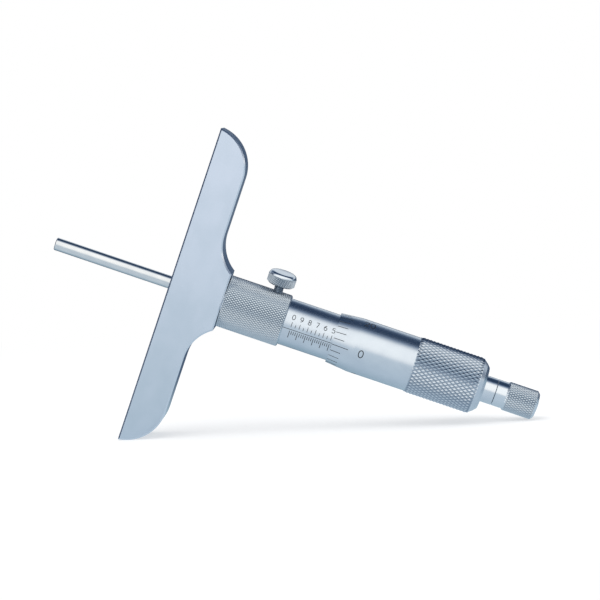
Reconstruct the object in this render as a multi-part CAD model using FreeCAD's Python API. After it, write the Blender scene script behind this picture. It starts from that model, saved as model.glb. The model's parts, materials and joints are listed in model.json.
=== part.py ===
"""Inch depth micrometer: a flat base, a micrometer head with one 1-2 inch rod, clamp and ratchet.

Every piece is modelled along its own axis first: +X runs from the base's measuring face towards
the ratchet, +Z along the base, and -Y is the side that carries the scale. At the end the whole
instrument is leaned over until the base's lower end and the ratchet knob stand on z = 0.
"""
import FreeCAD, Part
import math
import os

Vec = FreeCAD.Vector

# ---- driving dimensions, millimetres and degrees ------------------------------------------
inch = 25.4

# reading and screw
head_range = 1.0 * inch          # travel of the micrometer head
reading = 0.475 * inch           # where the thimble stands as built
rod_start = 1.0 * inch           # the fitted rod measures from here
thread_pitch = inch / 40         # spindle screw, 40 threads to the inch

# base
base_length = 100.0
base_width = 16.0
arm_height = 11.3
neck_height = 17.0
base_radius = 12.7               # end arcs and the hollow arcs under the neck
neck_half_width = 9.1            # half the neck's top face
base_edge_break = 0.45
rod_guide_depth = 3.3            # length of the close bore for the rod
spigot_depth = 8.0               # barrel thread in the neck
spigot_radius = 5.0

# head, from the base outwards
head_turn = 9.0                  # the head stands turned by this much in the base
barrel_radius = 5.58
barrel_tail_radius = 5.35
barrel_tail_length = 4.4
barrel_slit_width = 0.4
barrel_slit_length = 10.0
collar_length = 19.8
collar_overhang = 0.2            # collar's radius over half the base's width
collar_edge_break = 0.35
sleeve_radius = 7.3
sleeve_overrun = 1.6             # sleeve left under the thimble at the zero reading
sleeve_wrench_hole_radius = 0.8
thimble_stop_gap = 2.4           # thimble edge to collar at the full reading
adjusting_nut_length = 3.4
adjusting_nut_radius = 6.9
nut_thread_length = 12.0         # threaded tail of the barrel

# spindle and rod
rod_radius = 2.0
rod_tip_break = 0.2
rod_thread_radius = 1.9
rod_end_above_nuts = 0.5
spindle_radius = 3.175
spindle_front_overlap = 0.35     # spindle stays this far off the rod guide at full reading
spindle_thread_radius = 4.0
taper_large_radius = 4.9
taper_small_radius = 4.3
taper_length = 7.0
taper_run_up = 0.15              # step from the thread up to the taper
spindle_tail_length = 4.4        # thread for the thimble nut, behind the taper
thimble_nut_radius = 5.4
thimble_nut_length = 3.0
rod_nut_radius = 3.1
rod_nut_length = 2.2
rod_lock_nut_length = 1.3

# thimble
thimble_radius = 8.55
thimble_edge_radius = 7.85
thimble_bevel_length = 7.0
thimble_plain_length = 18.6
thimble_back_break = 0.95        # chamfer behind the grip
thimble_back_length = 1.25
thimble_back_dome = 0.9
thimble_bore_play = 0.15
thimble_web_gap = 0.35           # web to barrel tail at the full reading

# diamond knurl of the grip
knurl_crest_radius = 8.9
knurl_root_radius = 8.57
knurl_count = 46                 # diamonds round the grip
knurl_half_pitch = 1.085         # half a diamond along the axis
knurl_rows = 19                  # half diamonds along the axis
knurl_end_radius = 8.74          # the last diamonds are cut back at both ends

# rod cap and ratchet
cap_thread_radius = 6.0
cap_to_spindle = 0.2             # plug's front to the spindle's end
neck_radius = 4.15
neck_length = 3.7
post_radius = 1.9
post_flat = 1.5                  # half the width across the post's two flats
post_length = 8.3
ratchet_gap = 0.15               # groove between neck and knob
knob_skirt_length = 3.3
knob_length = 13.4
knob_radius = 4.55
knob_bore_radius = 3.55
knob_end_break = 0.8
knob_step_break = 0.5
knob_web_length = 3.5
clutch_ring_radius = 3.4
clutch_ring_length = 1.8
clutch_teeth = 20
clutch_tooth_height = 0.4
clutch_tooth_width = 0.5
clutch_lift_gap = 0.05           # tooth crests just pass: the top of a click
spring_wire = 0.4
spring_coils = 2.5
spring_facets = 12               # straight runs in one coil
washer_thickness = 0.4
washer_radius = 3.0
screw_shank_radius = 1.0
screw_shank_length = 4.5
screw_head_radius = 1.9
screw_head_length = 1.3
screw_slot_width = 0.5
screw_slot_depth = 0.6
knob_cap_length = 0.9
knob_cap_dome = 0.3

# clamp
lock_position = 31.9             # lock screw axis from the measuring face
lock_thread_radius = 1.5
lock_knob_radius = 4.4
lock_knob_side = 2.4
lock_knob_lower_break = 0.45
lock_knob_upper_break = 1.1
lock_shank_shown = 2.3           # thread between collar and knob
lock_tip_length = 0.7
pad_radius = 1.2
pad_clearance = 0.15             # pad to spindle, clamp open
pad_length = 1.9

# fits
turning_fit = 0.03               # radial, pieces that turn or slide in each other
seated_fit = 0.02                # radial, pieces that are screwed or pressed together
face_gap = 0.02                  # between end faces that bear on each other
overcut = 1.0                    # how far a cutting tool starts outside the metal

# ---- places that follow from them, measured along the axis from the measuring face ---------
half_base = base_length / 2
collar_radius = base_width / 2 + collar_overhang
travel_in = head_range - reading
rod_reach = rod_start + reading
barrel_front = neck_height - spigot_depth
collar_front = neck_height
collar_back = collar_front + collar_length
thimble_front = collar_back + thimble_stop_gap + travel_in
sleeve_front = collar_back + face_gap
sleeve_back = thimble_front + reading + sleeve_overrun
barrel_back = sleeve_back + barrel_tail_length
web_front = barrel_back + travel_in + thimble_web_gap
spindle_front = rod_guide_depth + travel_in + spindle_front_overlap
thread_front = lock_position + 2 * pad_radius + travel_in + 2.0
taper_front = web_front - face_gap
taper_back = taper_front + taper_length
thimble_nut_front = taper_back + 2 * face_gap
spindle_back = thimble_nut_front + spindle_tail_length
rod_nut_front = spindle_back + face_gap
rod_lock_nut_front = rod_nut_front + rod_nut_length + face_gap
rod_back = rod_lock_nut_front + rod_lock_nut_length + rod_end_above_nuts
grip_front = thimble_front + thimble_bevel_length + thimble_plain_length
grip_back = grip_front + knurl_rows * knurl_half_pitch
thimble_back = grip_back + thimble_back_length + thimble_back_dome
cap_front = spindle_back + cap_to_spindle
neck_back = thimble_back + neck_length
knob_front = neck_back + ratchet_gap
knob_back = knob_front + knob_length
post_back = neck_back + post_length
web_back = post_back - face_gap
knob_web_front = web_back - knob_web_length
clutch_ring_back = knob_web_front - clutch_lift_gap
clutch_ring_front = clutch_ring_back - clutch_ring_length


# ---- ways of making a piece ----------------------------------------------------------------
def turned(profile):
    """A solid of revolution about the axis, from its half section as (place, radius) points."""
    points = [Vec(place, 0, radius) for place, radius in profile]
    section = Part.Face(Part.makePolygon(points + points[:1]))
    return section.revolve(Vec(0, 0, 0), Vec(1, 0, 0), 360)


def bar(front, back, radius):
    """A plain round bar on the axis."""
    return Part.makeCylinder(radius, back - front, Vec(front, 0, 0), Vec(1, 0, 0))


def tube(front, back, outer, inner):
    """A plain tube on the axis."""
    return turned([(front, inner), (back, inner), (back, outer), (front, outer)])


def cross_bar(place, inner, outer, radius):
    """A round bar that points away from the axis, along +Z."""
    return Part.makeCylinder(radius, outer - inner, Vec(place, 0, inner), Vec(0, 0, 1))


def head_turned(shape):
    """Turns a piece with the head, about the axis."""
    return shape.rotated(Vec(0, 0, 0), Vec(1, 0, 0), head_turn)


# ---- base ----------------------------------------------------------------------------------
def base_outline():
    """Side outline of the base: flat face, arc ends, straight arms, hollow arcs up to the neck."""
    end_centre = Vec(arm_height - base_radius, 0, 0)
    end_centre.z = half_base - math.sqrt(base_radius ** 2 - end_centre.x ** 2)
    hollow_drop = arm_height + base_radius - neck_height
    hollow_reach = math.sqrt(base_radius ** 2 - hollow_drop ** 2)
    hollow_centre = Vec(arm_height + base_radius, 0, neck_half_width + hollow_reach)

    def on_circle(centre, start, end):
        """The middle of the shorter arc between two points of a circle."""
        way = (start + end) * 0.5 - centre
        return centre + way.normalize() * base_radius

    def half(side):
        """Corner points and arcs from the measuring face to the neck, on one side."""
        def at(point):
            return Vec(point.x, 0, side * point.z)

        tip = Vec(0, 0, half_base)
        shoulder = Vec(arm_height, 0, end_centre.z)
        root = Vec(arm_height, 0, hollow_centre.z)
        corner = Vec(neck_height, 0, neck_half_width)
        end_arc = Part.Arc(at(tip), at(on_circle(end_centre, tip, shoulder)), at(shoulder))
        back = Part.LineSegment(at(shoulder), at(root))
        hollow = Part.Arc(at(root), at(on_circle(hollow_centre, root, corner)), at(corner))
        return [end_arc.toShape(), back.toShape(), hollow.toShape()], at(tip), at(corner)

    upper, upper_tip, upper_corner = half(1)
    lower, lower_tip, lower_corner = half(-1)
    face = Part.LineSegment(lower_tip, upper_tip).toShape()
    neck = Part.LineSegment(upper_corner, lower_corner).toShape()
    return Part.Wire(Part.__sortEdges__(upper + [neck] + lower + [face]))


def base():
    """The ground bar, edges broken all round, bored for the rod, the spindle and the barrel."""
    side = Part.Face(base_outline())
    side.translate(Vec(0, -base_width / 2, 0))
    body = side.extrude(Vec(0, base_width, 0))
    rims = [edge for edge in body.Edges
            if abs(abs(edge.CenterOfMass.y) - base_width / 2) < 1e-6]
    body = body.makeChamfer(base_edge_break, rims)
    rod_bore = bar(-overcut, neck_height, rod_radius + turning_fit)
    spindle_bore = bar(rod_guide_depth, neck_height, spindle_radius + 2 * turning_fit)
    spigot_bore = bar(barrel_front - face_gap, neck_height + overcut, spigot_radius + seated_fit)
    return body.cut(rod_bore).cut(spindle_bore).cut(spigot_bore)


# ---- fixed part of the head ----------------------------------------------------------------
def barrel():
    """Inner sleeve: spigot, spindle guide, relieved bore, and the slit nut at the tail."""
    guide = spindle_radius + turning_fit
    nut = spindle_thread_radius + turning_fit
    relief = nut + 0.2
    guide_back = thread_front - travel_in - 0.4
    nut_front = barrel_back - nut_thread_length
    body = turned([
        (barrel_front, guide), (guide_back, guide), (guide_back, relief), (nut_front, relief),
        (nut_front, nut), (barrel_back, nut), (barrel_back, barrel_tail_radius),
        (sleeve_back, barrel_tail_radius), (sleeve_back, barrel_radius),
        (neck_height, barrel_radius), (neck_height, spigot_radius), (barrel_front, spigot_radius),
    ])
    slit = Part.makeBox(barrel_slit_length + overcut, barrel_slit_width, 4 * barrel_radius,
                        Vec(barrel_back - barrel_slit_length, -barrel_slit_width / 2,
                            -2 * barrel_radius))
    cross_slit = slit.rotated(Vec(0, 0, 0), Vec(1, 0, 0), 90)
    pad_hole = cross_bar(lock_position, 0, 2 * barrel_radius, pad_radius + turning_fit)
    screw_hole = cross_bar(lock_position, lock_tip - lock_tip_length, 2 * barrel_radius,
                           lock_thread_radius + turning_fit)
    return head_turned(body.cut(slit).cut(cross_slit).cut(pad_hole).cut(screw_hole))


def collar():
    """Ring behind the neck, tapped for the lock screw; its fine knurl is texture."""
    bore = barrel_radius + seated_fit
    rim = collar_radius - collar_edge_break
    body = turned([
        (collar_front, bore), (collar_back, bore), (collar_back, rim),
        (collar_back - collar_edge_break, collar_radius), (collar_front, collar_radius),
    ])
    tapping = cross_bar(lock_position, 0, 2 * collar_radius, lock_thread_radius + turning_fit)
    return head_turned(body.cut(tapping))


def sleeve():
    """Graduated tube with the wrench hole that turns it to zero, opposite the datum line."""
    body = tube(sleeve_front, sleeve_back, sleeve_radius, barrel_radius + seated_fit)
    hole_place = sleeve_front + thimble_stop_gap / 2 + sleeve_wrench_hole_radius
    hole = cross_bar(hole_place, 0, 2 * sleeve_radius, sleeve_wrench_hole_radius)
    return head_turned(body.cut(hole.rotated(Vec(0, 0, 0), Vec(1, 0, 0), -90)))


def adjusting_nut():
    """Ring nut that squeezes the slit tail, with two spanner notches."""
    front = sleeve_back + face_gap
    body = tube(front, front + adjusting_nut_length, adjusting_nut_radius,
                barrel_tail_radius + seated_fit)
    notch = Part.makeBox(1.0, 1.0, 4 * adjusting_nut_radius,
                         Vec(front + adjusting_nut_length - 1.0, -0.5, -2 * adjusting_nut_radius))
    return head_turned(body.cut(notch))


# ---- clamp ---------------------------------------------------------------------------------
pad_foot = spindle_radius + pad_clearance
lock_tip = pad_foot + pad_length + face_gap
lock_knob_foot = collar_radius + lock_shank_shown


def lock_pad():
    """Flat brass plug that the screw presses on the spindle."""
    return head_turned(cross_bar(lock_position, pad_foot, pad_foot + pad_length, pad_radius))


def lock_screw():
    """Thumb screw turned in one piece: tip, shank, and the knob with broken edges."""
    rim = lock_knob_foot + lock_knob_lower_break
    top = rim + lock_knob_side
    crown = top + lock_knob_upper_break
    profile = [
        (lock_tip, 0), (lock_tip, lock_thread_radius), (lock_knob_foot, lock_thread_radius),
        (lock_knob_foot, lock_knob_radius - lock_knob_lower_break), (rim, lock_knob_radius),
        (top, lock_knob_radius), (crown, lock_knob_radius - lock_knob_upper_break), (crown, 0),
    ]
    upright = turned(profile).rotated(Vec(0, 0, 0), Vec(0, 1, 0), -90)
    upright.translate(Vec(lock_position, 0, 0))
    return head_turned(upright)


# ---- moving screw --------------------------------------------------------------------------
def spindle():
    """Hollow screw: plain front, thread, taper for the thimble, tail thread."""
    bore = rod_radius + turning_fit
    return turned([
        (spindle_front, bore), (spindle_back, bore), (spindle_back, spindle_thread_radius),
        (taper_back, spindle_thread_radius), (taper_back, taper_small_radius),
        (taper_front, taper_large_radius), (taper_front - taper_run_up, spindle_thread_radius),
        (thread_front, spindle_thread_radius), (thread_front, spindle_radius),
        (spindle_front, spindle_radius),
    ])


def knurled_grip():
    """Round bar whose surface is rows of pyramids between two crossing sets of grooves."""
    step = 2 * math.pi / knurl_count

    def on_bar(row, turn, radius):
        angle = turn * step
        return Vec(grip_front + row * knurl_half_pitch, radius * math.cos(angle),
                   radius * math.sin(angle))

    def crossing(row, index):
        """Where two grooves cross; odd rows lie half a diamond round."""
        return on_bar(row, index + 0.5 * (row % 2), knurl_root_radius)

    faces = []
    ends = {0: [], knurl_rows: []}
    for row in range(knurl_rows + 1):
        for index in range(knurl_count):
            shift = row % 2
            left = crossing(row, index)
            right = crossing(row, index + 1)
            crest = knurl_end_radius if row in ends else knurl_crest_radius
            peak = on_bar(row, index + 0.5 + 0.5 * shift, crest)
            if row > 0:
                before = crossing(row - 1, index + shift)
                faces += [(before, right, peak), (before, peak, left)]
            if row < knurl_rows:
                after = crossing(row + 1, index + shift)
                faces += [(after, left, peak), (after, peak, right)]
            if row in ends:
                ends[row] += [left, peak]
    skin = [Part.Face(Part.makePolygon(list(corners) + [corners[0]])) for corners in faces]
    skin += [Part.Face(Part.makePolygon(rim + rim[:1])) for rim in ends.values()]
    shell = Part.makeShell(skin)
    shell.sewShape()
    return Part.makeSolid(shell)


def thimble():
    """Bevelled, plain and knurled on one piece, bored from both ends with a taper web between."""
    bore = sleeve_radius + thimble_bore_play
    taper_slope = (taper_large_radius - taper_small_radius) / taper_length
    nut_bore = thimble_nut_radius + seated_fit
    cap_bore = cap_thread_radius + seated_fit
    web_back_face = taper_back + face_gap
    seat_front = taper_large_radius + seated_fit
    seat_back = seat_front - taper_slope * (web_back_face - web_front)
    edge = (thimble_front, thimble_edge_radius)
    bevel = (thimble_front + thimble_bevel_length, thimble_radius)
    rim = thimble_radius - thimble_back_break
    body = turned([
        (thimble_front, 0), edge, bevel, (grip_front, thimble_radius),
        (grip_back, thimble_radius), (grip_back + thimble_back_length, rim),
        (thimble_back, cap_bore + 0.6), (thimble_back, 0),
    ])
    hollow = turned([
        (thimble_front - overcut, 0), (thimble_front - overcut, bore), (web_front, bore),
        (web_front, seat_front), (web_back_face, seat_back), (web_back_face, nut_bore),
        (cap_front - face_gap, nut_bore), (cap_front - face_gap, cap_bore),
        (thimble_back + overcut, cap_bore), (thimble_back + overcut, 0),
    ])
    return body.fuse(knurled_grip()).cut(hollow)


def thimble_nut():
    """Ring nut behind the web, with a spanner slot."""
    back = thimble_nut_front + thimble_nut_length
    body = tube(thimble_nut_front, back, thimble_nut_radius, spindle_thread_radius + seated_fit)
    slot = Part.makeBox(1.0, 1.2, 4 * thimble_nut_radius,
                        Vec(back - 0.8, -0.6, -2 * thimble_nut_radius))
    return body.cut(slot)


# ---- rod -----------------------------------------------------------------------------------
def measuring_rod():
    """Ground rod with a broken tip edge and a threaded top."""
    thread_start = rod_nut_front - 1.0
    return turned([
        (-rod_reach, 0), (-rod_reach, rod_radius - rod_tip_break),
        (-rod_reach + rod_tip_break, rod_radius), (thread_start, rod_radius),
        (thread_start, rod_thread_radius), (rod_back, rod_thread_radius), (rod_back, 0),
    ])


def rod_nut():
    """Zero-setting nut that seats on the spindle's end."""
    return tube(rod_nut_front, rod_nut_front + rod_nut_length, rod_nut_radius,
                rod_thread_radius + seated_fit)


def rod_lock_nut():
    """Thin nut that locks the zero-setting nut."""
    return tube(rod_lock_nut_front, rod_lock_nut_front + rod_lock_nut_length, rod_nut_radius,
                rod_thread_radius + seated_fit)


# ---- ratchet stop --------------------------------------------------------------------------
def post(front, back, radius, flat):
    """Round post with two flats."""
    sides = Part.makeBox(back - front, 2 * flat, 4 * radius, Vec(front, -flat, -2 * radius))
    return bar(front, back, radius).common(sides)


def rod_cap():
    """Screwed plug over the rod's nuts, with the neck and post that carry the ratchet."""
    pocket_back = rod_back + face_gap
    body = turned([
        (cap_front, rod_nut_radius + 0.3), (pocket_back, rod_nut_radius + 0.3), (pocket_back, 0),
        (neck_back, 0), (neck_back, neck_radius), (thimble_back, neck_radius),
        (thimble_back, cap_thread_radius), (cap_front, cap_thread_radius),
    ])
    body = body.fuse(post(neck_back, post_back, post_radius, post_flat))
    hole = bar(post_back - screw_shank_length, post_back + overcut, screw_shank_radius + seated_fit)
    return body.cut(hole)


def clutch_notches(face, reach, outer):
    """V notches in a flat face out to a radius, one for each tooth; reach points into the metal."""
    half = clutch_tooth_width / 2
    tool = Part.Face(Part.makePolygon([
        Vec(face, -half, 0), Vec(face + reach, 0, 0), Vec(face, half, 0), Vec(face, -half, 0)]))
    tool = tool.extrude(Vec(0, 0, outer))
    return [tool.rotated(Vec(0, 0, 0), Vec(1, 0, 0), 360 * number / clutch_teeth)
            for number in range(clutch_teeth)]


def clutch_ring():
    """Toothed ring that slides on the post's flats."""
    hole = post(clutch_ring_front - overcut, clutch_ring_back + overcut,
                post_radius + turning_fit, post_flat + turning_fit)
    body = bar(clutch_ring_front, clutch_ring_back, clutch_ring_radius).cut(hole)
    return body.cut(clutch_notches(clutch_ring_back, -clutch_tooth_height, knob_radius))


def ratchet_spring():
    """Compression spring between the cap's neck and the clutch ring, of square wire."""
    half = spring_wire / 2
    front = neck_back + half + face_gap
    back = clutch_ring_front - half - face_gap
    radius = (post_radius + clutch_ring_radius) / 2
    stations = round(spring_coils * spring_facets)
    sections = []
    for station in range(stations + 1):
        corners = [Vec(front + across * half, 0, radius + out * half)
                   for across, out in ((1, 1), (-1, 1), (-1, -1), (1, -1), (1, 1))]
        section = Part.makePolygon(corners)
        section.translate(Vec((back - front) * station / stations, 0, 0))
        section.rotate(Vec(0, 0, 0), Vec(1, 0, 0), 360 * station / spring_facets)
        sections.append(section)
    return Part.makeLoft(sections, True, True)


def ratchet_knob():
    """Hollow knob: skirt, knurled part, toothed web, recess for the screw head and cover."""
    step = knob_front + knob_skirt_length
    rim = knob_radius - knob_end_break
    web_bore = post_radius + turning_fit
    cover_front = knob_back - knob_cap_length
    recess = rim - 0.15
    body = turned([
        (knob_front, knob_bore_radius), (knob_web_front, knob_bore_radius),
        (knob_web_front, web_bore), (web_back, web_bore), (web_back, recess),
        (knob_back, recess), (knob_back, rim), (knob_back - knob_end_break, knob_radius),
        (step + knob_step_break, knob_radius), (step, neck_radius), (knob_front, neck_radius),
    ])
    return body.cut(clutch_notches(knob_web_front, clutch_tooth_height, clutch_ring_radius))


def ratchet_washer():
    """Thrust washer between the post's end and the screw head."""
    front = post_back + face_gap
    return tube(front, front + washer_thickness, washer_radius, screw_shank_radius + seated_fit)


def ratchet_screw():
    """Slotted screw in the post's end."""
    seat = post_back + washer_thickness + 2 * face_gap
    top = seat + screw_head_length
    body = bar(post_back - screw_shank_length + face_gap, seat, screw_shank_radius)
    body = body.fuse(bar(seat, top, screw_head_radius))
    slot = Part.makeBox(screw_slot_depth + overcut, screw_slot_width, 4 * screw_head_radius,
                        Vec(top - screw_slot_depth, -screw_slot_width / 2,
                            -2 * screw_head_radius))
    return body.cut(slot)


def knob_cap():
    """Domed cover pressed into the knob's end."""
    edge = knob_radius - knob_end_break - 0.15 - seated_fit
    front = knob_back - knob_cap_length
    return turned([
        (front, 0), (front, edge), (knob_back, edge), (knob_back + knob_cap_dome, edge / 2),
        (knob_back + knob_cap_dome, 0),
    ])


# ---- standing pose -------------------------------------------------------------------------
def lean_angle():
    """The lean, in degrees, at which the base's end arc and the knob's rim stand level."""
    arc_x = arm_height - base_radius
    arc_z = math.sqrt(base_radius ** 2 - arc_x ** 2) - half_base
    across = knob_back - knob_end_break - arc_x
    down = arc_z + knob_radius
    reach = math.hypot(across, down)
    return math.degrees(math.asin(base_radius / reach) - math.atan2(down, across))


def stood(shapes):
    """Leans every piece over and puts the origin under the middle of the whole instrument."""
    lean = lean_angle()
    leaned = {name: shape.rotated(Vec(0, 0, 0), Vec(0, 1, 0), lean)
              for name, shape in shapes.items()}
    box = FreeCAD.BoundBox()
    for shape in leaned.values():
        box.add(shape.optimalBoundingBox(True, False))
    shift = Vec(-box.Center.x, -box.Center.y, -box.ZMin)
    for shape in leaned.values():
        shape.translate(shift)
    return leaned, lean, shift


def build():
    """Every node, in the standing pose."""
    return stood({make.__name__: make() for make in (
        base, barrel, collar, sleeve, adjusting_nut, lock_pad, lock_screw, spindle, thimble,
        thimble_nut, measuring_rod, rod_nut, rod_lock_nut, rod_cap, clutch_ring,
        ratchet_spring, ratchet_knob, ratchet_washer, ratchet_screw, knob_cap)})


nodes, lean, shift = build()
os.makedirs("parts", exist_ok=True)
for name, shape in nodes.items():
    shape.exportStep(f"parts/{name}.step")
    print(f"{name}: {shape.Volume:.1f} mm3, valid {shape.isValid()}, solids {len(shape.Solids)}")
print(f"lean {lean:.4f} degrees, measuring face centre at {tuple(shift)}")
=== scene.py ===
import json
import math

import bmesh
import bpy
from mathutils import Matrix, Quaternion, Vector


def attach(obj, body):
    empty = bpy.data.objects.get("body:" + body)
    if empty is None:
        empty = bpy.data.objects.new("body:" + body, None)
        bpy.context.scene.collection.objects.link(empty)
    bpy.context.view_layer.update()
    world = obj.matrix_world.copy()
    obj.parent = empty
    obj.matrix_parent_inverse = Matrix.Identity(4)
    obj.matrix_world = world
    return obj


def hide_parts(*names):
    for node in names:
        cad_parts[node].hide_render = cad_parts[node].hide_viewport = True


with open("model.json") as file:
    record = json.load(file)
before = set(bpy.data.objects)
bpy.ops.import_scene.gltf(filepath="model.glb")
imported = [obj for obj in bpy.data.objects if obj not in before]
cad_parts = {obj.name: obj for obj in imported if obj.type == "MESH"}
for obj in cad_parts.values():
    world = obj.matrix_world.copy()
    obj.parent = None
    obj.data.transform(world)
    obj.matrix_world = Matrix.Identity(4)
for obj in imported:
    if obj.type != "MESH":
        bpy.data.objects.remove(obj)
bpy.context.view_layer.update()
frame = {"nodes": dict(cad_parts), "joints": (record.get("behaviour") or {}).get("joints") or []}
nodes = frame["nodes"]
joints = {joint["name"]: joint for joint in frame["joints"]}


# ---- base ------------------------------------------------------------------------------------
# The reference bar: tool steel milled to shape, its sides ground lengthways, its edges broken
# and the whole plated. The head is screwed into its neck and the rod slides through its face.

class Wire:
    """One output of a material's nodes, so that its maths reads as a plain expression."""

    def __init__(self, tree, socket=None):
        self.tree = tree
        self.socket = socket

    def node(self, kind, settings=None, values=None, out=0):
        """Adds a node: its settings first, then the values or wires of its sockets."""
        made = self.tree.nodes.new(kind)
        for name, setting in (settings or {}).items():
            if name == "stops":
                ramp = made.color_ramp.elements
                while len(ramp) < len(setting):
                    ramp.new(1.0)
                for stop, (place, colour) in zip(ramp, setting):
                    stop.position = place
                    stop.color = (*colour, 1.0)
            else:
                setattr(made, name, setting)
        for name, value in (values or {}).items():
            if isinstance(value, Wire):
                self.tree.links.new(value.socket, made.inputs[name])
            else:
                made.inputs[name].default_value = value
        return Wire(self.tree, made.outputs[out] if made.outputs else None)

    def maths(self, operation, *values):
        wired = (self, *values) if self.socket else values
        return self.node("ShaderNodeMath", {"operation": operation}, dict(enumerate(wired)))

    def __add__(self, other):
        return self.maths("ADD", other)

    def __sub__(self, other):
        return self.maths("SUBTRACT", other)

    def __rsub__(self, other):
        return Wire(self.tree).maths("SUBTRACT", other, self)

    def __mul__(self, other):
        return self.maths("MULTIPLY", other)

    def __truediv__(self, other):
        return self.maths("DIVIDE", other)

    __radd__ = __add__
    __rmul__ = __mul__

    def between(self, low, high):
        """0 below low, 1 above high, and smooth between them."""
        return self.node("ShaderNodeMapRange", {"interpolation_type": "SMOOTHSTEP"},
                         {"Value": self, "From Min": low, "From Max": high})

    def tint(self, low, high):
        """A colour that goes from low, where this is 0, to high, where it is 1."""
        colours = {slot: colour if isinstance(colour, Wire) else (*colour, 1.0)
                   for slot, colour in ((6, low), (7, high))}
        return self.node("ShaderNodeMix", {"data_type": "RGBA"}, {0: self, **colours}, out=2)


axis = Vector(joints["thimble_turn"]["axis"])
lock = Vector(joints["lock_turn"]["axis"])
face_centre = Vector(joints["thimble_turn"]["pos_m"])
lock_foot = Vector(joints["lock_turn"]["pos_m"])


def new_material(name):
    """An empty node material and the wire that its nodes start from."""
    material = bpy.data.materials.new(name)
    material.use_nodes = True
    material.node_tree.nodes.clear()
    return material, Wire(material.node_tree)


def close_material(start, metallic, colour, roughness, normal=None):
    """The metal shader at the end of a material."""
    values = {"Metallic": metallic, "Base Color": colour, "Roughness": roughness}
    if normal:
        values["Normal"] = normal
    shader = start.node("ShaderNodeBsdfPrincipled", {}, values)
    start.node("ShaderNodeOutputMaterial", {}, {"Surface": shader})


def measured(start, origin, directions):
    """How far a surface point lies from origin along each direction, in millimetres."""
    point = start.node("ShaderNodeTexCoord", out="Object")
    way = start.node("ShaderNodeVectorMath", {"operation": "SUBTRACT"}, {0: point, 1: origin})
    return [start.node("ShaderNodeVectorMath", {"operation": "DOT_PRODUCT"},
                       {0: way, 1: direction * 1000}, out="Value") for direction in directions]


def speckle(start, sizes, origin=face_centre, forward=axis, up=lock, detail=2.0):
    """Noise between 0 and 1 with the given grain sizes, in millimetres, along three ways."""
    ways = measured(start, origin, (forward, up.cross(forward), up))
    stretched = start.node("ShaderNodeCombineXYZ", {}, {
        place: way / size for place, (way, size) in enumerate(zip(ways, sizes))})
    return start.node("ShaderNodeTexNoise", {}, {
        "Vector": stretched, "Scale": 1.0, "Detail": detail, "Roughness": 0.55})


def relief(start, height, depth):
    """The surface normal that a height between 0 and 1 gives, depth in millimetres."""
    return start.node("ShaderNodeBump", {}, {
        "Strength": 1.0, "Distance": depth * 0.001, "Height": height})


def dress(node, material):
    """Gives a CAD node its finish."""
    mesh = nodes[node].data
    mesh.materials.clear()
    mesh.materials.append(material)


base_along = Vector((0, 1, 0)).cross(axis) * -1.0
ground_steel, start = new_material("ground_steel")
grind = speckle(start, (0.05, 0.05, 6.0), up=base_along, detail=3.0)
patches = speckle(start, (7.0, 7.0, 11.0), up=base_along)
facing = start.node("ShaderNodeNewGeometry", out="Normal")
facing = start.node("ShaderNodeSeparateXYZ", {}, {0: facing}, out="Y").maths("ABSOLUTE")
side_face = facing.between(0.75, 0.95)
# Painted shade: the ground faces darken along the base towards its lower end, for the floor's shade
# seen in them; random cloudy patches add a quarter of the change.
painted_shade_along_base = measured(start, face_centre, (base_along,))[0].between(-60.0, 45.0)
shade = 0.25 * patches.between(0.3, 0.7) + 0.75 * painted_shade_along_base
colour = shade.tint((0.405, 0.495, 0.585), (0.555, 0.625, 0.735))
colour = side_face.tint((0.60, 0.655, 0.73), colour)
close_material(start, 1.0, colour, 0.15 + 0.22 * side_face + 0.05 * grind + 0.03 * patches,
               relief(start, grind, 0.0012))
dress("base", ground_steel)


# ---- measuring rod ---------------------------------------------------------------------------
# Hardened steel, ground and lapped bright, with a square end whose edge is just broken. It runs
# up through the hollow spindle and is held there by the cap.

polished_steel, start = new_material("polished_steel")
rings = speckle(start, (0.12, 4.0, 4.0), detail=2.0)
haze = speckle(start, (5.0, 2.0, 2.0))
colour = haze.between(0.35, 0.7).tint((0.56, 0.595, 0.625), (0.62, 0.65, 0.675))
close_material(start, 1.0, colour, 0.13 + 0.05 * rings + 0.04 * haze,
               relief(start, rings, 0.0004))
dress("measuring_rod", polished_steel)
dress("spindle", polished_steel)


# ---- collar ----------------------------------------------------------------------------------
# The ring that clamps the head in the base: chromed steel with a fine diamond knurl all over,
# rolled before its back edge was turned off. The lock screw goes through a hole drilled in it.

def stand(origin, forward, up):
    """Where a piece that is drawn in millimetres, forward along X and up along Z, is placed."""
    turn = Matrix((forward, up.cross(forward), up)).transposed().to_4x4()
    return Matrix.Translation(origin) @ turn @ Matrix.Scale(0.001, 4)


in_head = stand(face_centre, axis, lock)


def turned_points(node, place=in_head):
    """The CAD node's corners as (place along the axis, radius), in millimetres."""
    back = place.inverted()
    points = (back @ corner.co for corner in nodes[node].data.vertices)
    return [(point.x, math.hypot(point.y, point.z)) for point in points]


def span(node, place=in_head):
    """Front, back and largest radius of a CAD node along its own axis."""
    points = turned_points(node, place)
    places = [along for along, radius in points]
    return min(places), max(places), max(radius for along, radius in points)


def ring(mesh, place, radius, angles):
    """Corners round the axis at the given angles."""
    return [mesh.verts.new((place, radius * math.cos(angle), radius * math.sin(angle)))
            for angle in angles]


def join(mesh, front, back):
    """Faces between two rings with the same number of corners."""
    for index in range(len(front)):
        after = (index + 1) % len(front)
        mesh.faces.new((front[index], back[index], back[after], front[after]))


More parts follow.
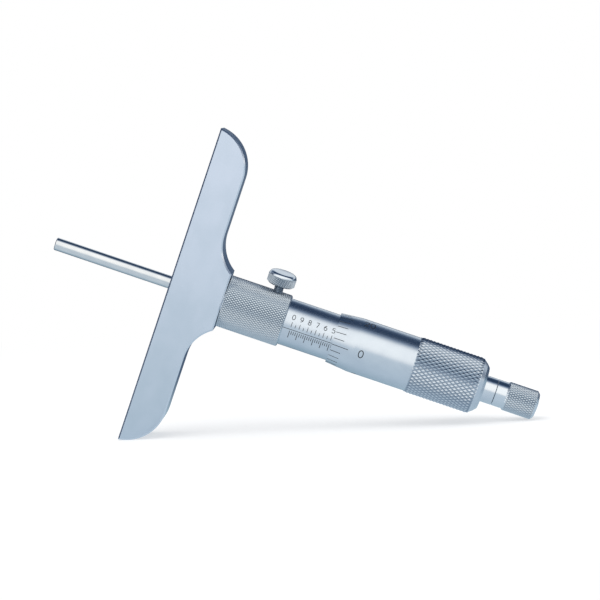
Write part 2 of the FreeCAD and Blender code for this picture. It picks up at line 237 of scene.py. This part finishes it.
def knurl(mesh, front, back, count, pitch, root, crest, flat):
    """Rows of small flat-topped pyramids between two crossing sets of grooves.

    Returns the corners of its two ends, in order round the axis.
    """
    rows = max(2, 2 * round((back - front) / pitch))
    step = 2 * math.pi / count
    height = (back - front) / rows

    def corner(row, turn, radius):
        return mesh.verts.new((front + row * height, radius * math.cos(turn * step),
                               radius * math.sin(turn * step)))

    crossings = [[corner(row, index + 0.5 * (row % 2), root) for index in range(count)]
                 for row in range(rows + 1)]
    ends = {0: [], rows: []}
    for row in range(rows + 1):
        shift = row % 2
        for index in range(count):
            middle = index + 0.5 + 0.5 * shift
            left, right = crossings[row][index], crossings[row][(index + 1) % count]
            top_left = corner(row, middle - 0.5 * flat, crest)
            top_right = corner(row, middle + 0.5 * flat, crest)
            top = [top_left, top_right]
            for way in (-1, 1):
                if not 0 <= row + way <= rows:
                    continue
                tip = crossings[row + way][(index + shift) % count]
                top_tip = corner(row + way * flat, middle, crest)
                top.insert(1 if way < 0 else len(top), top_tip)
                sides = ((left, tip, top_tip, top_left), (tip, right, top_right, top_tip))
                for side in sides:
                    mesh.faces.new(side if way < 0 else side[::-1])
            mesh.faces.new(top[::-1])
            if row in ends:
                ends[row] += [left, top_left, top_right]
    return ends[0], ends[rows]


def angles_of(corners):
    return [math.atan2(corner.co.z, corner.co.y) for corner in corners]


def knurled_turning(before, band, after):
    """A closed turning with a knurled band between two plain profiles of (place, radius)."""
    mesh = bmesh.new()
    first, last = knurl(mesh, **band)
    for profile, end in ((before[::-1], first), (after, last)):
        angles = angles_of(end)
        previous = end
        for place, radius in profile:
            if radius == 0:
                tip = mesh.verts.new((place, 0, 0))
                for index, corner in enumerate(previous):
                    mesh.faces.new((corner, tip, previous[(index + 1) % len(previous)]))
                continue
            following = ring(mesh, place, radius, angles)
            join(mesh, previous, following)
            previous = following
    bmesh.ops.remove_doubles(mesh, verts=mesh.verts, dist=0.0001)
    bmesh.ops.recalc_face_normals(mesh, faces=mesh.faces)
    return mesh


def add_piece(name, mesh, place, material, body, replaced=None):
    """Turns a drawn mesh into a piece of the instrument, smooth but for its real edges."""
    mesh.transform(place)
    data = bpy.data.meshes.new(name)
    mesh.to_mesh(data)
    mesh.free()
    data.materials.append(material)
    data.shade_smooth()
    data.set_sharp_from_angle(angle=math.radians(24))
    piece = bpy.data.objects.new(name, data)
    bpy.context.scene.collection.objects.link(piece)
    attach(piece, body)
    if replaced:
        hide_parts(replaced)
    return piece


def knurled_chrome_for(name, root, crest, band, origin=face_centre, forward=axis, up=lock):
    """Chrome: a knurled band with crests worn smoother than its grooves, and painted shade
    darkening the grooves; smooth beside.
    """
    material, start = new_material(name)
    along, side, height = measured(start, origin, (forward, up.cross(forward), up))
    knurled = along.between(band[0] - 0.1, band[0]) * (1.0 - along.between(band[1], band[1] + 0.1))
    radius = (side * side + height * height).maths("SQRT")
    crest_wear_and_groove_shade = radius.between(root, crest)
    grain = speckle(start, (0.12, 0.12, 0.12), origin, forward, up)
    # Painted shade: in the knurled band the colour darkens from the crests down into the grooves;
    # beside the band it is plain chrome.
    colour = knurled.tint((0.58, 0.635, 0.69), crest_wear_and_groove_shade.tint((0.27, 0.325, 0.39), (0.58, 0.64, 0.69)))
    close_material(start, 1.0, colour, 0.11 + knurled * (0.27 - 0.13 * crest_wear_and_groove_shade) + 0.04 * grain,
                   relief(start, grain, 0.0006))
    return material


collar_front, collar_back, collar_radius = span("collar")
collar_bore = min(radius for _, radius in turned_points("collar"))
collar_edge = 0.35
knurl_depth = 0.17
knurled_collar = knurled_chrome_for("knurled_collar", collar_radius - knurl_depth, collar_radius,
                                    (collar_front + 0.3, collar_back - collar_edge))
collar_mesh = knurled_turning(
    [(collar_back, collar_bore), (collar_front, collar_bore),
     (collar_front, collar_radius - 0.5), (collar_front + 0.15, collar_radius - knurl_depth)],
    dict(front=collar_front + 0.3, back=collar_back - collar_edge, count=63, pitch=1.20,
         root=collar_radius - knurl_depth, crest=collar_radius, flat=0.42),
    [(collar_back, collar_radius - collar_edge - 0.1), (collar_back, collar_bore)])
collar = add_piece("knurled_collar", collar_mesh, in_head, knurled_collar,
                   "frame", "collar")

tapped_radius = 1.53
drill = bmesh.new()
bmesh.ops.create_cone(drill, cap_ends=True, segments=48, radius1=tapped_radius,
                      radius2=tapped_radius, depth=2 * collar_radius)
drill.transform(Matrix.Translation(((lock_foot - face_centre).dot(axis) * 1000, 0,
                                    collar_radius)))
drill.transform(in_head)
drill_data = bpy.data.meshes.new("drill")
drill.to_mesh(drill_data)
drill.free()
drill = bpy.data.objects.new("drill", drill_data)
bpy.context.scene.collection.objects.link(drill)
hole = collar.modifiers.new("screw_hole", "BOOLEAN")
hole.operation = "DIFFERENCE"
hole.object = drill
drilled = collar.evaluated_get(bpy.context.evaluated_depsgraph_get())
collar.data = bpy.data.meshes.new_from_object(drilled)
collar.modifiers.clear()
bpy.data.objects.remove(drill)


# ---- barrel and graduated sleeve -------------------------------------------------------------
# The sleeve is a satin chromed tube pushed over the barrel, turned with a wrench to set zero.
# Its scale is engraved and filled black: fortieths below the line, tenths numbered above it.

def satin_chrome_for(name, colour_low, colour_high, smooth, grain_depth):
    """Bead-blasted and plated steel with faint turning rings under the plating."""
    material, start = new_material(name)
    grain = speckle(start, (0.09, 0.09, 0.09))
    rings = speckle(start, (0.25, 9.0, 9.0))
    haze = speckle(start, (6.0, 4.0, 4.0))
    colour = haze.between(0.3, 0.7).tint(colour_low, colour_high)
    close_material(start, 1.0, colour, smooth + 0.05 * grain + 0.03 * rings + 0.03 * haze,
                   relief(start, 0.7 * grain + 0.3 * rings, grain_depth))
    return material


satin_chrome = satin_chrome_for("satin_chrome", (0.505, 0.565, 0.635), (0.545, 0.605, 0.67),
                                0.19, 0.0008)
dress("sleeve", satin_chrome)

turned_steel, start = new_material("turned_steel")
rings = speckle(start, (0.10, 12.0, 12.0), detail=3.0)
colour = rings.tint((0.40, 0.42, 0.45), (0.56, 0.58, 0.61))
close_material(start, 1.0, colour, 0.30 + 0.12 * rings, relief(start, rings, 0.002))
dress("barrel", turned_steel)
dress("adjusting_nut", turned_steel)

black_fill, start = new_material("black_fill")
grain = speckle(start, (0.06, 0.06, 0.06))
colour = grain.tint((0.008, 0.010, 0.014), (0.022, 0.026, 0.034))
close_material(start, 0.0, colour, 0.45 + 0.2 * grain, relief(start, grain, 0.002))


def arc(centre_x, centre_y, reach_x, reach_y, first, last):
    """Points of an elliptical arc, angles in degrees."""
    steps = max(3, round(abs(last - first) / 18))
    angles = [math.radians(first + (last - first) * step / steps) for step in range(steps + 1)]
    return [(centre_x + reach_x * math.cos(angle), centre_y + reach_y * math.sin(angle))
            for angle in angles]


# One stroke after another, as an engraving cutter follows its template; every numeral is 1 high.
cutter_paths = {
    "0": [arc(0.31, 0.5, 0.31, 0.5, 90, 450)],
    "1": [[(0.12, 0.80), (0.34, 1.0), (0.34, 0.0)]],
    "2": [arc(0.31, 0.70, 0.29, 0.30, 170, -38) + [(0.02, 0.0), (0.62, 0.0)]],
    "3": [arc(0.30, 0.755, 0.25, 0.245, 150, -90), arc(0.30, 0.26, 0.30, 0.25, 90, -150)],
    "4": [[(0.46, 0.0), (0.46, 1.0), (0.0, 0.28), (0.64, 0.28)]],
    "5": [[(0.56, 1.0), (0.10, 1.0), (0.06, 0.56)] + arc(0.29, 0.33, 0.31, 0.33, 125, -150)],
    "6": [arc(0.31, 0.31, 0.30, 0.31, 0, 360),
          [(0.50, 0.98)] + arc(0.66, 0.38, 0.65, 0.62, 118, 182)],
    "7": [[(0.0, 1.0), (0.60, 1.0), (0.20, 0.0)]],
    "8": [arc(0.31, 0.755, 0.25, 0.245, 90, 450), arc(0.31, 0.255, 0.30, 0.255, 90, 450)],
    "9": [arc(0.31, 0.69, 0.30, 0.31, 0, 360),
          [(0.12, 0.02)] + arc(-0.04, 0.62, 0.65, 0.62, -62, 2)],
}


def cut_stroke(mesh, path, width, wrapped):
    """A filled groove along a path of (along, round) points, wrapped on its surface."""
    fine = [path[0]]
    for before, after in zip(path, path[1:]):
        pieces = max(1, math.ceil(abs(after[1] - before[1]) / 0.4))
        fine += [tuple(before[k] + (after[k] - before[k]) * step / pieces for k in (0, 1))
                 for step in range(1, pieces + 1)]
    rims = []
    for index, point in enumerate(fine):
        before, after = fine[max(index - 1, 0)], fine[min(index + 1, len(fine) - 1)]
        way = Vector((after[0] - before[0], after[1] - before[1])).normalized() * (width / 2)
        rims.append([mesh.verts.new(wrapped(point[0] - side * way.y, point[1] + side * way.x))
                     for side in (1, -1)])
    for before, after in zip(rims, rims[1:]):
        mesh.faces.new((before[0], before[1], after[1], after[0]))


def cut_number(mesh, text, middle, height, width, wrapped):
    """Numerals centred on a (along, round) point, reading away from the base."""
    pitch = 0.86 * height
    start_x = middle[0] - pitch * (len(text) - 1) / 2 - 0.31 * height
    for place, numeral in enumerate(text):
        for path in cutter_paths[numeral]:
            cut_stroke(mesh, [(start_x + place * pitch + x * height,
                               middle[1] + (y - 0.5) * height) for x, y in path], width, wrapped)


def wrapper(radius_at, reference):
    """Wraps (along, round) points on a turned surface; round is measured at one radius."""
    def wrapped(along, around):
        radius = radius_at(along) + 0.012
        angle = around / reference
        return along, -radius * math.cos(angle), radius * math.sin(angle)
    return wrapped


inch = 25.4
sleeve_front, _, sleeve_radius = span("sleeve")
thimble_front = span("thimble")[0]
on_sleeve = wrapper(lambda along: sleeve_radius, sleeve_radius)
full_mark = thimble_front - joints["rod_travel"]["range_m"][0] * -1000
fine_line = 0.17
bold_line = 0.2
scale = bmesh.new()
cut_stroke(scale, [(sleeve_front + 0.05, 0.0), (full_mark + inch + 0.3, 0.0)], fine_line,
           on_sleeve)
for mark in range(41):
    along = full_mark + mark * inch / 40
    reach = -2.9 if mark % 4 == 0 else -1.6
    cut_stroke(scale, [(along, -0.45), (along, reach)], bold_line, on_sleeve)
    if mark % 2 == 0:
        cut_stroke(scale, [(along, 0.75), (along, 2.3 if mark % 4 == 0 else 1.75)],
                   fine_line, on_sleeve)
    if mark % 4 == 0:
        cut_number(scale, str((10 - mark // 4) % 10), (along, 3.85), 1.5, bold_line,
                   on_sleeve)
add_piece("sleeve_scale", scale, in_head, black_fill, "frame")


# ---- thimble ---------------------------------------------------------------------------------
# Turned, bored and diamond knurled in one piece, then satin chromed. Its bevel carries the
# twenty-five divisions of one turn, engraved and filled black; every fifth line is numbered.

grip_offset = 25.6
grip_rows = 19
grip_half_pitch = 1.085
grip_front = thimble_front + grip_offset
grip_back = grip_front + grip_rows * grip_half_pitch
thimble_chrome, start = new_material("thimble_chrome")
along, side, height = measured(start, face_centre, (axis, lock.cross(axis), lock))
radius = (side * side + height * height).maths("SQRT")
grain = speckle(start, (0.09, 0.09, 0.09))
rings = speckle(start, (0.25, 9.0, 9.0))
haze = speckle(start, (7.0, 5.0, 5.0))
crest = radius.between(8.58, 8.84)
grip = along.between(grip_front - 0.1, grip_front + 0.4) * (1.0 - along.between(
    grip_back - 0.3, grip_back))
colour = haze.between(0.3, 0.7).tint((0.505, 0.565, 0.635), (0.545, 0.605, 0.67))
# Painted shade: on the knurled grip the colour darkens from the crests down into the grooves; the
# rest keeps its chrome colour with random haze.
colour = grip.tint(colour, crest.tint((0.24, 0.30, 0.375), (0.57, 0.625, 0.685)))
close_material(start, 1.0, colour,
               0.19 + 0.05 * grain + 0.03 * rings + 0.03 * haze,
               relief(start, 0.7 * grain + 0.3 * rings, 0.0008))
dress("thimble", thimble_chrome)

bevel_length = 7.0
edge_radius = 7.85
plain_radius = 8.55


def thimble_surface(along):
    share = min(1.0, (along - thimble_front) / bevel_length)
    return edge_radius + (plain_radius - edge_radius) * share


on_thimble = wrapper(thimble_surface, plain_radius)
divisions = bmesh.new()
for mark in range(25):
    around = -mark * 2 * math.pi * plain_radius / 25
    reach = 5.3 if mark == 0 else 4.2 if mark % 5 == 0 else 3.4
    cut_stroke(divisions, [(thimble_front + 0.12, around), (thimble_front + reach, around)],
               bold_line, on_thimble)
    if mark % 5 == 0:
        cut_number(divisions, str(mark), (thimble_front + 9.4, around), 2.3, 0.29, on_thimble)
add_piece("thimble_scale", divisions, in_head, black_fill, "thimble")
dress("thimble_nut", turned_steel)


# ---- rod cap and ratchet ---------------------------------------------------------------------
# The cap screws into the thimble over the rod's two nuts; its bright neck carries the ratchet:
# toothed ring, spring, hollow knob, washer, screw and a domed cover.

bright_chrome = satin_chrome_for("bright_chrome", (0.55, 0.60, 0.66), (0.60, 0.65, 0.70),
                                 0.11, 0.0003)
dress("rod_cap", bright_chrome)
dress("knob_cap", bright_chrome)
for node in ("rod_nut", "rod_lock_nut", "clutch_ring", "ratchet_washer", "ratchet_screw"):
    dress(node, turned_steel)

spring_wire, start = new_material("spring_wire")
drawn = speckle(start, (0.5, 0.2, 0.2))
close_material(start, 1.0, drawn.tint((0.28, 0.29, 0.31), (0.42, 0.43, 0.45)),
               0.30 + 0.12 * drawn, relief(start, drawn, 0.002))
dress("ratchet_spring", spring_wire)

knob_front, knob_back, knob_radius = span("ratchet_knob")
skirt_back = knob_front + 3.3
knob_end = 0.8
neck_radius = 4.15
bore_radius = 3.55
web_radius = 1.93
recess_radius = knob_radius - knob_end - 0.15
web_back = knob_front - 0.15 + 8.3 - 0.02
web_front = web_back - 3.5
knurled_knob = knurled_chrome_for("knurled_knob", knob_radius - 0.16, knob_radius,
                                  (skirt_back + 0.5, knob_back - knob_end))
knob = knurled_turning(
    [(web_front, web_radius), (web_front, bore_radius), (knob_front, bore_radius),
     (knob_front, neck_radius - 0.12), (knob_front + 0.12, neck_radius),
     (skirt_back, neck_radius)],
    dict(front=skirt_back + 0.5, back=knob_back - knob_end, count=36, pitch=1.40,
         root=knob_radius - 0.16, crest=knob_radius, flat=0.36),
    [(knob_back, knob_radius - knob_end), (knob_back, recess_radius), (web_back, recess_radius),
     (web_back, web_radius), (web_front, web_radius)])
add_piece("knurled_knob", knob, in_head, knurled_knob, "ratchet",
          "ratchet_knob")


# ---- lock screw ------------------------------------------------------------------------------
# A small thumb screw with a knurled head, turned in one piece and chromed. It presses a brass
# plug on the spindle to hold the reading.

in_lock = stand(lock_foot, lock, -axis)
lock_tip, lock_top, lock_radius = span("lock_screw", in_lock)
screw_points = turned_points("lock_screw", in_lock)
thread_radius = 1.5
thread_pitch = 0.5
thread_depth = 0.25
head_foot = min(along for along, radius in screw_points if radius > thread_radius + 0.5)
head_side = head_foot + 0.45
head_shoulder = head_side + 2.4


def threaded(mesh, front, back, radius, pitch, depth, sides=24, steps=8):
    """Rings of corners that follow a screw thread; returns the first and the last."""
    rings = []
    for row in range(round((back - front) / pitch * steps) + 1):
        place = front + row * pitch / steps
        rings.append([])
        for side in range(sides):
            phase = (row / steps - side / sides) % 1.0
            lift = max(0.0, min(1.0, abs(2 * phase - 1) * 1.5 - 0.15))
            reach = radius - depth * (1 - lift)
            angle = 2 * math.pi * side / sides
            rings[-1].append(mesh.verts.new((min(place, back), reach * math.cos(angle),
                                             reach * math.sin(angle))))
    for before, after in zip(rings, rings[1:]):
        join(mesh, before, after)
    return rings[0], rings[-1]


knurled_lock = knurled_chrome_for("knurled_lock", lock_radius - 0.2, lock_radius,
                                  (lock_tip, head_shoulder), lock_foot, lock, -axis)
screw = knurled_turning(
    [(head_foot, 0), (head_foot, thread_radius + 0.3), (head_foot, lock_radius - 0.6),
     (head_side - 0.1, lock_radius - 0.2)],
    dict(front=head_side, back=head_shoulder, count=44, pitch=0.80,
         root=lock_radius - 0.2, crest=lock_radius, flat=0.3),
    [(head_shoulder + 0.12, lock_radius - 0.16)]
    + [(head_shoulder + 0.15 + (lock_top - head_shoulder - 0.15) * math.sin(angle),
        lock_radius - 1.25 + 1.1 * math.cos(angle))
       for angle in (math.radians(18 * step) for step in range(6))]
    + [(lock_top, 0)])
first, last = threaded(screw, lock_tip, head_foot, thread_radius, thread_pitch, thread_depth)
for end in (first, last):
    tip = screw.verts.new((end[0].co.x, 0, 0))
    for index, corner in enumerate(end):
        screw.faces.new((corner, tip, end[(index + 1) % len(end)]))
bmesh.ops.recalc_face_normals(screw, faces=screw.faces)
add_piece("thumb_screw", screw, in_lock, knurled_lock, "lock_screw",
          "lock_screw")

brass, start = new_material("brass")
grain = speckle(start, (0.15, 0.15, 0.15))
close_material(start, 1.0, grain.tint((0.62, 0.44, 0.18), (0.74, 0.55, 0.26)),
               0.32 + 0.1 * grain, relief(start, grain, 0.002))
dress("lock_pad", brass)


# ---- studio ----------------------------------------------------------------------------------
# A pale floor, a white surround with one long soft light in front and a dark flag overhead,
# which gives the round pieces their edge, and a soft lamp for the shadow on the floor.

floor_data = bpy.data.meshes.new("floor")
floor_reach = 0.42
floor_data.from_pydata([(-floor_reach, -floor_reach, 0), (floor_reach, -floor_reach, 0),
                        (floor_reach, floor_reach, 0), (-floor_reach, floor_reach, 0)], [],
                       [(0, 1, 2, 3)])
floor = bpy.data.objects.new("floor", floor_data)
bpy.context.scene.collection.objects.link(floor)
floor_paint, start = new_material("floor_paint")
place = start.node("ShaderNodeTexCoord", out="Object")
distance = start.node("ShaderNodeVectorMath", {"operation": "LENGTH"}, {0: place}, out="Value")
far = distance.between(0.13, 0.34)
seen = start.node("ShaderNodeLightPath", out="Is Camera Ray")
seen = seen + start.node("ShaderNodeLightPath", out="Is Transmission Ray")
lit = start.node("ShaderNodeBsdfDiffuse", {}, {"Color": (0.56, 0.56, 0.56, 1.0)})
glow = start.node("ShaderNodeEmission", {}, {"Color": (1.0, 1.0, 1.0, 1.0), "Strength": 0.5})
near_floor = start.node("ShaderNodeAddShader", {}, {0: lit, 1: glow})
near_floor = start.node("ShaderNodeMixShader", {}, {0: seen, 1: lit, 2: near_floor})
white = start.node("ShaderNodeEmission", {}, {"Color": (1.0, 1.0, 1.0, 1.0), "Strength": 1.0})
paint = start.node("ShaderNodeMixShader", {}, {0: far, 1: near_floor, 2: white})
# Painted reflection: for glossy rays the floor glows in place of its lit colour, pale in front of
# the instrument and dark blue behind it, and the chrome shows that.
behind = start.node("ShaderNodeSeparateXYZ", {}, {0: place}, out="Y") * 2.0 + 0.4
painted_floor_reflection = start.node("ShaderNodeValToRGB", {"stops": [
    (0.30, (0.84, 0.92, 0.98)), (0.38, (0.76, 0.86, 0.94)), (0.425, (0.50, 0.64, 0.73)),
    (0.47, (0.40, 0.53, 0.61)), (0.54, (0.22, 0.30, 0.38)), (0.62, (0.07, 0.11, 0.18)),
    (0.95, (0.07, 0.11, 0.18))]}, {0: behind})
shade = start.node("ShaderNodeEmission", {}, {"Color": painted_floor_reflection, "Strength": 1.0})
glossy = start.node("ShaderNodeLightPath", out="Is Glossy Ray")
paint = start.node("ShaderNodeMixShader", {}, {0: glossy, 1: paint, 2: shade})
start.node("ShaderNodeOutputMaterial", {}, {"Surface": paint})
floor_data.materials.append(floor_paint)

world = bpy.data.worlds.new("studio")
world.use_nodes = True
world.node_tree.nodes.clear()
start = Wire(world.node_tree)
direction = start.node("ShaderNodeTexCoord", out="Generated")
parts = [start.node("ShaderNodeSeparateXYZ", {}, {0: direction}, out=k) for k in (1, 2)]
turn = parts[1].maths("ARCTAN2", parts[0] * -1.0) / (2 * math.pi) + 0.5
surround = start.node("ShaderNodeValToRGB", {"stops": [
    (0.00, (0.07, 0.11, 0.18)), (0.06, (0.30, 0.38, 0.46)), (0.30, (0.66, 0.78, 0.87)),
    (0.455, (0.74, 0.84, 0.92)), (0.50, (1.25, 1.24, 1.22)), (0.53, (1.50, 1.46, 1.40)),
    (0.66, (1.50, 1.46, 1.40)), (0.715, (0.22, 0.31, 0.45)), (0.75, (0.03, 0.06, 0.12)),
    (0.835, (0.03, 0.06, 0.12)), (0.875, (0.14, 0.21, 0.32)), (0.915, (0.85, 0.90, 0.95)),
    (0.945, (0.85, 0.90, 0.95)), (0.97, (0.07, 0.11, 0.18)), (1.0, (0.07, 0.11, 0.18))]}, {0: turn})
mirrored = start.node("ShaderNodeBackground", {}, {"Color": surround, "Strength": 1.0})
fill = start.node("ShaderNodeBackground", {}, {
    "Color": (0.95, 0.97, 1.0, 1.0), "Strength": 0.75})
backdrop = start.node("ShaderNodeBackground", {}, {
    "Color": (1.0, 1.0, 1.0, 1.0), "Strength": 1.0})
glossy = start.node("ShaderNodeLightPath", out="Is Glossy Ray")
seen = start.node("ShaderNodeLightPath", out="Is Camera Ray")
seen = seen + start.node("ShaderNodeLightPath", out="Is Transmission Ray")
light = start.node("ShaderNodeMixShader", {}, {0: glossy, 1: fill, 2: mirrored})
shown = start.node("ShaderNodeMixShader", {}, {0: seen, 1: light, 2: backdrop})
start.node("ShaderNodeOutputWorld", {}, {"Surface": shown})
bpy.context.scene.world = world

lamp_data = bpy.data.lights.new("overhead", "AREA")
lamp_data.shape = "RECTANGLE"
lamp_data.size = 0.5
lamp_data.size_y = 0.35
lamp_data.energy = 1.2
lamp = bpy.data.objects.new("overhead", lamp_data)
lamp.location = (-0.08, -0.10, 0.55)
lamp.rotation_euler = (Vector((0, 0, 0.03)) - lamp.location).to_track_quat("-Z", "Y").to_euler()
lamp.visible_glossy = False
bpy.context.scene.collection.objects.link(lamp)

aim = Vector((0.00132, 0.0, 0.03985))
yaw, pitch, roll = (math.radians(angle) for angle in (-2.21, 4.74, -2.80))
view = Vector((math.sin(yaw) * math.cos(pitch), math.cos(yaw) * math.cos(pitch),
               -math.sin(pitch)))
camera_data = bpy.data.cameras.new("camera")
camera_data.lens = 140.9
camera_data.sensor_width = 36.0
camera = bpy.data.objects.new("camera", camera_data)
camera.location = aim - view * 0.72
camera.rotation_mode = "QUATERNION"
camera.rotation_quaternion = ((-view).to_track_quat("Z", "Y")
                              @ Quaternion((0, 0, 1), roll))
bpy.context.scene.collection.objects.link(camera)
bpy.context.scene.camera = camera
bpy.context.scene.view_settings.view_transform = "Standard"
